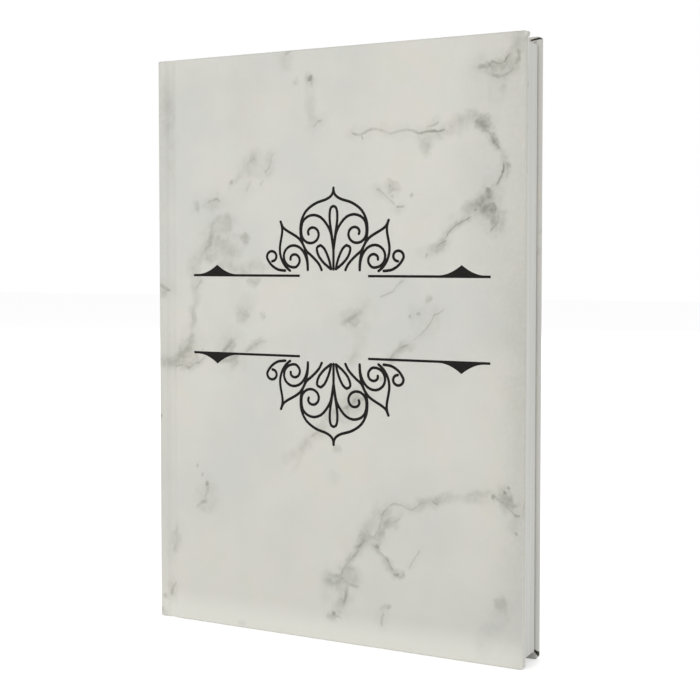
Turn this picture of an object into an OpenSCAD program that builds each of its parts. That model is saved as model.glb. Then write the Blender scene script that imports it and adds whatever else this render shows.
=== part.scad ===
// Faux leather journal: a case-bound book with stiff covers, a square spine and an
// engraved front. It stands on its tail: X runs from the spine to the fore-edge,
// Y from the front cover to the back cover, and Z from the tail to the head.
// The origin is at the middle of the book, on the surface that it stands on.

/* [Book] */
// Width of the closed book, from the spine to the fore-edge
cover_w = 148; // [142:0.5:220]
// Height of the covers
cover_h = 212; // [170:0.5:300]
// Thickness of the closed book
book_t = 16.5; // [12:0.5:40]

/* [Case] */
// Thickness of the stiff board in each cover
board_t = 1.8; // [1.4:0.1:3]
// Thickness of the leatherette
skin_t = 0.5; // [0.4:0.05:0.7]
// Thickness of the stiff strip in the spine
strip_t = 2; // [1:0.1:3]
// Width of the leatherette that is folded in over each edge
turn_in = 15; // [8:1:25]
// Radius where the leatherette bends over an edge
edge_r = 0.8; // [0.5:0.1:1.1]
// Radius of the covers' corners at the fore-edge
corner_r = 1.5; // [1:0.1:4]
// Radius along the spine's two long corners
spine_r = 1; // [0.8:0.1:1.6]
// Radius of the spine's ends at head and tail
spine_end_r = 1.2; // [0.8:0.1:1.6]

/* [Joint] */
// Width of the groove that each cover bends in
groove_w = 6; // [4:0.5:8]
// Depth of that groove
groove_d = 0.8; // [0.3:0.1:1.2]
// Flat strip of leatherette between the groove and the stiff piece on each side
groove_flat = 0.15; // [0.05:0.05:1]

/* [Pages] */
// How far the covers reach past the pages at head and tail
end_square = 3; // [1:0.5:6]
// How far the covers reach past the pages at the fore-edge
fore_square = 1.1; // [0.5:0.1:5]
// Number of folded sections that the pages are sewn from
sections = 8; // [4:1:14]
// Thickness of the endpapers
paper_t = 0.15; // [0.1:0.05:0.25]
// Gap between the pasted paper and the leaf that it faces
leaf_gap = 0.1; // [0.05:0.05:0.3]
// Margin of leatherette left bare round the pasted paper
paper_margin = 3; // [2:0.5:6]
// Hollow between the spine's inside and the pages' backs
hollow = 0.4; // [0.2:0.1:1]
// Thickness of the lining on the pages' backs
lining_t = 0.25; // [0.15:0.05:0.5]
// Radius of the bead on the head and tail bands
bead_r = 0.7; // [0.4:0.1:0.9]
// Height of the tape that holds each bead
band_h = 7; // [4:1:12]

/* [Engraving] */
// Middle of the design, across from the middle of the cover
art_x = 2; // [0:0.2:3]
// Height of the middle of the design
art_z = 116.7; // [106:0.1:122]
// Depth that is burnt out of the leatherette
burn_d = 0.25; // [0.2:0.05:0.3]
// Thickness of the dark core that is laid bare in the burnt lines
char_t = 0.1; // [0.05:0.05:0.15]
// Width that the burnt line has beyond each side of the drawn one
burn_w = 0.02; // [0.01:0.01:0.05]
// Width of the ornament's lines
line_w = 1; // [0.6:0.02:1.2]
// Width of the two rules
rule_w = 0.86; // [0.4:0.02:1]
// Height of each rule above or below the middle of the design
rule_z = 14.5; // [12:0.5:16]
// Distance from each rule to the foot of the ornament
ornament_gap = 2.4; // [1.5:0.1:3]
// Width of one square of the grid that the ornament is drawn on
square_w = 1; // [0.9:0.01:1.05]
// Height of one square of that grid
square_h = 0.965; // [0.9:0.005:1.05]
// Where each rule starts, out from the middle
rule_start = 13.8; // [12:0.2:16]
// Where each rule ends, out from the middle
rule_end = 59.8; // [58:0.2:61]
// Where the point on each rule stands, out from the middle
spear_x = 49.3; // [48:0.1:50]
// Length of that point along the rule, to each side
spear_l = 8.2; // [6:0.1:8.6]
// Height of that point above the rule's edge
spear_h = 3.5; // [2:0.1:5]

/* [Hidden] */

marble = "#d5d6cf";
core_black = "#1d1c1b";
greyboard = "#9b958a";
page_white = "#dedfdb";
endpaper_white = "#e6e6e2";
cloth_white = "#e9e6dc";

$fn = 48;
curve_steps = 2;
curl_step = 36;
end_facets = 10;
groove_steps = 16;
spear_steps = 7;
spear_bend = 1.85;
fold_share = 0.7;
past = 1;

// The slits and gaps in the folded corners, on the covers' inner faces
slit_w = 0.2;
slit_d = 0.25;
tuck_d = 0.35;
tail_tuck = [[-0.3, 1.7], [-0.3, 3.1], [-1.6, 3.9], [-1.7, 3.5]];
head_tuck = [[-0.3, 0.3], [-0.3, 1.05], [-3.6, 1.5], [-3.6, 1.05]];

spine_x = -cover_w / 2;
fore_x = cover_w / 2;
face_y = -book_t / 2;
cover_t = board_t + 2 * skin_t;
wrap_r = min(edge_r, cover_t / 2 - 0.1);

// Across the book, from the spine inwards
strip_x = spine_x + skin_t;
strip_in_x = strip_x + strip_t;
lining_x = strip_in_x + skin_t + hollow;
pages_x = lining_x + lining_t;
pages_fore_x = fore_x - fore_square;
hinge_x = strip_in_x + groove_flat + groove_w / 2;
joint_x = hinge_x + groove_w / 2 + groove_flat;

// Through the book, from the front face inwards
board_y = face_y + skin_t;
board_in_y = board_y + board_t;
cover_in_y = face_y + cover_t;
leaf_y = cover_in_y + paper_t + leaf_gap;
pages_y = leaf_y + paper_t;
pages_t = -2 * pages_y;

// The ornament's lines, as [squares from its middle line, squares above its foot]
ogee = [
    [0, 29.8], [0.1, 28.5], [0.7, 27.2], [1.9, 26.2], [3.7, 25.4], [6.5, 24.6], [9, 23.3],
    [11.2, 21.5], [12.7, 19], [13.4, 16.5], [13.5, 13.5], [13, 10.5], [12, 8.3],
    [11, 6.6], [9.5, 5.4], [7.6, 3.7], [5.8, 1.7], [4.8, -0.3]
];
petal_arch = [
    [0, 7], [0.8, 12.2], [1.6, 14.6], [3.1, 17], [5.2, 19.1], [8, 20],
    [10.8, 19.3], [12.7, 17.3]
];
petal_curl = [[8.9, 13.2], 4.4, 1.3, 12, -375];
heart_loop = [
    [0, 23.1], [0.9, 22.7], [1.45, 21.2], [1.55, 18.7], [1.3, 16.2], [0.8, 13.2],
    [0.4, 10.2], [0, 7]
];
stem = [[0, -0.1], [0, 5], [0, 10]];
drop_out = [[1, 0], [3.6, 2], [5.8, 4.5], [6.75, 7], [6.4, 8.3], [5.1, 8.7]];
drop_in = [[5.5, 8.68], [5.1, 8.7], [3.6, 7.4], [2.1, 4.3], [1.3, 1.7], [1, 0]];
leaf_out = [
    [21.8, 17.7], [21.2, 15.8], [21.15, 13.7], [21.6, 11.2], [22.1, 8.3],
    [22, 5.7], [21.2, 3.2], [19.7, 0.9], [17.9, -0.6]
];
leaf_in = [
    [21.8, 17.7], [21, 15.9], [20, 14.9], [18.4, 13.9], [16, 12.6], [14, 11.2],
    [12.5, 9.2], [11.5, 6.9], [10.8, 4.2], [10.5, 1.7], [10.5, -0.3]
];
leaf_foot = [[10.5, -0.3], [10.7, 2.5], [11.6, 5.3], [13.3, 7.6]];
leaf_arch = [[16.4, 4.7], 4.1, 4.1, 102, -95];
leaf_curl = [[16.3, 3.55], 2.8, 1.35, -120, -360];
outer_foot = [[19.9, -0.6], [22.6, -0.3], [24.5, 0.6], [26, 1.8]];
outer_curl = [[25.5, 4.7], 2.1, 1.8, -25, 267];

// The point at t, from 0 to 1, of a smooth curve between b and c
function curve_point(a, b, c, d, t) =
    0.5 * (2 * b + (c - a) * t + (2 * a - 5 * b + 4 * c - d) * t * t
        + (3 * b - a - 3 * c + d) * t * t * t);

// A smooth line through the points p
function curve(p) = let (last = len(p) - 1) concat(
    [for (i = [0:last - 1], s = [0:curve_steps - 1])
        curve_point(p[max(i - 1, 0)], p[i], p[i + 1], p[min(i + 2, last)], s / curve_steps)],
    [p[last]]
);

// A curl from [centre, first radius, last radius, first angle, last angle]
function curl(c) = let (turns = ceil(abs(c[4] - c[3]) / curl_step)) [
    for (i = [0:turns])
        let (t = i / turns, r = c[1] + (c[2] - c[1]) * t, a = c[3] + (c[4] - c[3]) * t)
            c[0] + r * [cos(a), sin(a)]
];

// The unit vector across the line p at its point i
function across(p, i) =
    let (d = p[min(i + 1, len(p) - 1)] - p[max(i - 1, 0)]) [-d[1], d[0]] / norm(d);

// A line of the width w along the points p, with round ends
module stroke(p, w) {
    last = len(p) - 1;
    polygon(concat(
        [for (i = [0:last]) p[i] + across(p, i) * w / 2],
        [for (i = [last:-1:0]) p[i] - across(p, i) * w / 2]
    ));
    for (end = [p[0], p[last]]) translate(end) circle(d = w, $fn = end_facets);
}

// One side of the ornament, standing on its foot
module ornament_half() {
    lines = [
        curve(ogee),
        curve(concat(petal_arch, curl(petal_curl))),
        curve(heart_loop),
        stem,
        curve(drop_out),
        curve(drop_in),
        curve(leaf_out),
        curve(leaf_in),
        curve(concat(leaf_foot, curl(leaf_arch), curl(leaf_curl))),
        curve(concat(outer_foot, curl(outer_curl)))
    ];
    for (l = lines) stroke([for (p = l) [p[0] * square_w, p[1] * square_h]], line_w);
}

// One side of a rule, with the hollow-sided point that stands on it
module rule_half() {
    translate([rule_start, -rule_w / 2]) square([rule_end - rule_start, rule_w]);
    polygon(concat(
        [[spear_x - spear_l, 0]],
        [for (i = [0:spear_steps]) let (t = i / spear_steps)
            [spear_x - spear_l * (1 - t), rule_w / 2 + spear_h * pow(t, spear_bend)]],
        [for (i = [1:spear_steps]) let (t = 1 - i / spear_steps)
            [spear_x + spear_l * (1 - t), rule_w / 2 + spear_h * pow(t, spear_bend)]],
        [[spear_x + spear_l, 0]]
    ));
}

// The whole design, the same on all four sides of its middle
module design() {
    for (side = [0, 1], end = [0, 1])
        mirror([side, 0]) mirror([0, end]) translate([0, rule_z]) {
            rule_half();
            translate([0, ornament_gap]) ornament_half();
        }
}

// The burnt lines, filled from the depth given up to the height given above it
module burnt(depth, height) {
    translate([art_x, face_y + depth, art_z]) rotate([90, 0, 0])
        linear_extrude(height) offset(delta = burn_w) design();
}

// A rectangle from the origin whose far corners are rounded
module far_rounded(w, h, r) {
    square([w - r, h]);
    translate([0, r]) square([w, h - 2 * r]);
    for (y = [r, h - r]) translate([w - r, y]) circle(r);
}

// A rectangle from the origin with four round corners
module rounded(w, h, r) {
    translate([r, 0]) square([w - 2 * r, h]);
    translate([0, r]) square([w, h - 2 * r]);
    for (x = [r, w - r], y = [r, h - r]) translate([x, y]) circle(r);
}

// Turns a flat shape so that it is seen from the front and its depth runs along +Y
module upright(depth) {
    translate([0, depth, 0]) rotate([90, 0, 0]) linear_extrude(depth) children();
}

// The stiff board of the front cover, round at its outer corners
module board() {
    translate([joint_x, board_y, skin_t])
        upright(board_t)
            far_rounded(fore_x - skin_t - joint_x, cover_h - 2 * skin_t, corner_r - skin_t);
}

// The outside of the front cover, with every edge bent round the board
module cover_outside() {
    intersection() {
        translate([joint_x, face_y, 0])
            linear_extrude(cover_h) far_rounded(fore_x - joint_x, cover_t, wrap_r);
        translate([joint_x - past, face_y, 0]) rotate([90, 0, 90])
            linear_extrude(cover_w) rounded(cover_t, cover_h, wrap_r);
        translate([joint_x, face_y - past, 0]) upright(cover_t + 2 * past)
            far_rounded(fore_x - joint_x, cover_h, corner_r);
    }
}

// The slit where two turn-ins meet, from near the tail corner to their inner corner
module mitre_slit() {
    translate([fore_x - corner_r, cover_in_y - slit_d, corner_r]) rotate([0, -135, 0])
        translate([0, 0, -slit_w / 2])
            cube([(turn_in - corner_r) * sqrt(2) + past, slit_d + past, slit_w]);
}

// A gap left open in a corner's fold, along the points p, measured in from the corner
module open_tuck(p) {
    translate([fore_x, cover_in_y + past, 0]) rotate([90, 0, 0])
        linear_extrude(tuck_d + past) polygon(p);
}

// The leatherette round the front cover's board, turned in on three sides
module cover_wrap() {
    difference() {
        cover_outside();
        board();
        translate([joint_x - past, board_in_y - past, turn_in])
            cube([fore_x - turn_in - joint_x + past, skin_t + 2 * past, cover_h - 2 * turn_in]);
        mitre_slit();
        at_head() mitre_slit();
    }
}

// What the groove takes away in plan from the front face, moved in by shift
module groove(shift) {
    y = face_y + shift;
    polygon(concat(
        [[hinge_x - groove_w / 2, y - past]],
        [for (i = [-groove_steps / 2:groove_steps / 2]) let (s = 2 * i / groove_steps)
            [hinge_x + s * groove_w / 2, y + groove_d * (1 + cos(180 * s)) / 2]],
        [[hinge_x + groove_w / 2, y - past]]
    ));
}

// The spine and both grooves in plan, filled, with its outside moved in by shift
module spine_plan(shift) {
    r = max(spine_r - shift, 0.1);
    half = book_t / 2 - shift;
    difference() {
        union() {
            translate([spine_x + shift + r, -half])
                square([joint_x - spine_x - shift - r, 2 * half]);
            translate([spine_x + shift, -half + r])
                square([joint_x - spine_x - shift, 2 * (half - r)]);
            for (y = [-half + r, half - r]) translate([spine_x + shift + r, y]) circle(r);
        }
        groove(shift);
        mirror([0, 1]) groove(shift);
    }
}

// The stiff strip in the spine
module strip() {
    translate([strip_x, -book_t / 2 + skin_t, skin_t])
        cube([strip_t, book_t - 2 * skin_t, cover_h - 2 * skin_t]);
}

// The outline that the spine's head and tail are bent to
module spine_outline() {
    w = joint_x - spine_x;
    intersection() {
        translate([joint_x, -book_t, 0]) mirror([1, 0, 0])
            upright(2 * book_t) far_rounded(w, cover_h, spine_end_r);
        translate([spine_x - past, face_y, 0]) rotate([90, 0, 90])
            linear_extrude(w + 2 * past) rounded(book_t, cover_h, wrap_r);
    }
}

// The leatherette over the spine and both grooves, turned in at head and tail
module spine_skin() {
    difference() {
        intersection() {
            linear_extrude(cover_h) spine_plan(0);
            spine_outline();
        }
        translate([0, 0, turn_in]) linear_extrude(cover_h - 2 * turn_in) difference() {
            spine_plan(skin_t);
            translate([joint_x, -book_t]) square([past, 2 * book_t]);
        }
        translate([0, 0, -past]) linear_extrude(cover_h + 2 * past) intersection() {
            spine_plan(2 * skin_t);
            translate([strip_in_x + skin_t, -book_t])
                square([joint_x - strip_in_x, 2 * book_t]);
        }
        strip();
    }
}

// The pages, with the folded backs of their sections towards the spine
module pages() {
    fold_r = pages_t / sections / 2;
    fold_cut = fold_r * fold_share;
    translate([0, 0, end_square]) linear_extrude(cover_h - 2 * end_square) {
        translate([pages_x + fold_cut, pages_y])
            square([pages_fore_x - pages_x - fold_cut, pages_t]);
        for (i = [0:sections - 1])
            translate([pages_x + fold_r, pages_y + fold_r * (2 * i + 1)]) circle(fold_r);
    }
}

// The lining glued to the sections' folds, between the two bands
module lining() {
    translate([lining_x, pages_y, end_square + band_h])
        cube([lining_t, pages_t, cover_h - 2 * (end_square + band_h)]);
}

// The band at the head of the pages: a bead on its tape
module band() {
    top = cover_h - end_square;
    translate([lining_x + bead_r, -pages_y, top + bead_r])
        rotate([90, 0, 0]) cylinder(r = bead_r, h = pages_t);
    translate([lining_x, pages_y, top - band_h])
        cube([lining_t, pages_t, band_h + bead_r]);
}

// The front endpaper's free leaf, folded at the spine into its half of the joint
module endpaper() {
    fold_r = paper_t + leaf_gap / 2;
    flap_end = joint_x - leaf_gap;
    translate([0, 0, end_square]) linear_extrude(cover_h - 2 * end_square) {
        translate([pages_x + fold_r, leaf_y])
            square([pages_fore_x - pages_x - fold_r, paper_t]);
        translate([pages_x + fold_r, cover_in_y])
            square([flap_end - pages_x - fold_r, paper_t]);
        translate([pages_x + fold_r, cover_in_y + fold_r]) difference() {
            circle(fold_r);
            circle(leaf_gap / 2);
            translate([0, -fold_r]) square([fold_r, 2 * fold_r]);
        }
    }
}

// The pasted half of the front endpaper, pressed down between the turn-ins
module pastedown() {
    side = fore_x - paper_margin - joint_x;
    tall = cover_h - 2 * paper_margin;
    dip_w = fore_x - turn_in - joint_x;
    dip_h = cover_h - 2 * turn_in;
    difference() {
        union() {
            translate([joint_x, cover_in_y, paper_margin]) cube([side, paper_t, tall]);
            translate([joint_x, board_in_y, turn_in]) cube([dip_w, skin_t + paper_t, dip_h]);
        }
        translate([joint_x - past, board_in_y + paper_t, turn_in + paper_t])
            cube([dip_w - paper_t + past, skin_t + past, dip_h - 2 * paper_t]);
    }
}

// The front cover's pieces serve the back cover, mirrored
module at_back() {
    mirror([0, 1, 0]) children();
}

// What is drawn at the tail, turned over to the head
module at_head() {
    translate([0, 0, cover_h]) mirror([0, 0, 1]) children();
}

module front_board() { color(greyboard) board(); }
module back_board() { color(greyboard) at_back() board(); }
module spine_strip() { color(greyboard) strip(); }
module front_wrap() { color(marble) difference() { cover_wrap(); burnt(burn_d, burn_d + past); } }
module engraving() { color(core_black) burnt(burn_d, char_t); }
module back_wrap() {
    color(marble) at_back() difference() {
        cover_wrap();
        open_tuck(tail_tuck);
        at_head() open_tuck(head_tuck);
    }
}
module spine_wrap() { color(marble) spine_skin(); }
module text_block() { color(page_white) pages(); }
module spine_lining() { color(cloth_white) lining(); }
module head_band() { color(cloth_white) band(); }
module tail_band() { color(cloth_white) at_head() band(); }
module front_endpaper() { color(endpaper_white) endpaper(); }
module back_endpaper() { color(endpaper_white) at_back() endpaper(); }
module front_pastedown() { color(endpaper_white) pastedown(); }
module back_pastedown() { color(endpaper_white) at_back() pastedown(); }

front_board();
back_board();
spine_strip();
front_wrap();
engraving();
back_wrap();
spine_wrap();
text_block();
spine_lining();
head_band();
tail_band();
front_endpaper();
back_endpaper();
front_pastedown();
back_pastedown();
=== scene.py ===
"""Looks for a marbled leatherette journal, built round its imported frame.

Sizes and places are in millimetres, in the frame's axes: X from the spine to the
fore-edge, Y from the front cover to the back cover, Z from the tail to the head.
"""

import math
from collections import namedtuple

import bmesh
import bpy
from mathutils import Matrix, Vector


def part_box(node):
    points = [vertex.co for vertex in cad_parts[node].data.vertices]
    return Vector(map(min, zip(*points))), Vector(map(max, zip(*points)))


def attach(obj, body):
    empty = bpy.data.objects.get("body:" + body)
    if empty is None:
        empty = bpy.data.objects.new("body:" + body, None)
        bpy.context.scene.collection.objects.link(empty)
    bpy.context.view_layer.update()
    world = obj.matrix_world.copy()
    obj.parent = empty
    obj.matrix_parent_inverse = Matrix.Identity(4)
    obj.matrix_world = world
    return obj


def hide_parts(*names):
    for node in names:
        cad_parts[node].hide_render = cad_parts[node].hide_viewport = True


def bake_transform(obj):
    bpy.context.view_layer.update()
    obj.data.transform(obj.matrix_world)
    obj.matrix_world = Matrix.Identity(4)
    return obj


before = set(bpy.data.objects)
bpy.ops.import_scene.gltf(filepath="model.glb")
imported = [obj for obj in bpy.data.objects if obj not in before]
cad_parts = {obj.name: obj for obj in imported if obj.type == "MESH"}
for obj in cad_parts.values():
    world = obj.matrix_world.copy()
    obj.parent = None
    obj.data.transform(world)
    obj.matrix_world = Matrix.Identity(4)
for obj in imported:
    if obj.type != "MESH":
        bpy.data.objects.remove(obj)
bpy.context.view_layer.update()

MM = 0.001
FRAME_PIXELS = 700
SENSOR = 36.0


def box_mm(node):
    """The lowest and highest corner of a solid, in millimetres."""
    low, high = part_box(node)
    return low / MM, high / MM


# Places taken from the frame
front_low, front_high = box_mm("front_wrap")
back_low = box_mm("back_wrap")[0]
spine_low = box_mm("spine_wrap")[0]
block_low, block_high = box_mm("text_block")
flap_low, flap_high = box_mm("front_endpaper")
art_low, art_high = box_mm("engraving")

face_y = front_low.y
cover_in_y = front_high.y
joint_x = front_low.x
fore_x = front_high.x
cover_h = front_high.z

# Sizes that the source has too: the groove and the flat strip beside it, the paper and the
# gap behind the free leaf, and the bead and tape of the head and tail bands
groove_w = 6.0
groove_flat = 0.15
paper_t = 0.15
leaf_gap = 0.1
bead_r = 0.7
tape_t = 0.25

# Where the leatherette and the paper start and stop bending in the joint
bend_end = joint_x - groove_flat
bend_start = bend_end - groove_w


def linear(red, green, blue):
    """A colour of the photograph, from 0 to 255, as the renderer's own numbers."""
    def one(value):
        share = value / 255
        return share / 12.92 if share <= 0.04045 else ((share + 0.055) / 1.055) ** 2.4
    return (one(red), one(green), one(blue), 1.0)


# Colours
MARBLE = linear(210, 208, 201)
MARBLE_SHADE = linear(203, 203, 197)
MARBLE_WARM = linear(213, 208, 196)
MARBLE_GREEN = linear(206, 209, 200)
# Lighter marble for the painted light along the front's tail and its rounded fore-edge
MARBLE_PAINTED_LIT = linear(221, 220, 212)
VEIN = linear(136, 139, 131)
VEIN_WARM = linear(141, 138, 126)
CORE = linear(21, 20, 19)
CORE_WORN = linear(46, 44, 42)
# Painted shade in the gaps of the back cover's folded corners
FOLD_SHADE = linear(60, 58, 55)
PAGE = linear(228, 228, 224)
PAGE_SHADE = linear(204, 204, 200)
PAPER = linear(222, 222, 218)
PAPER_SHADE = linear(217, 217, 212)
BOARD = linear(152, 147, 137)
BOARD_FLECK = linear(118, 112, 103)
THREAD = linear(226, 222, 211)
# Painted shade in the hollows of the cotton weave
THREAD_SHADE = linear(186, 180, 166)
FLOOR = linear(250, 250, 250)

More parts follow.
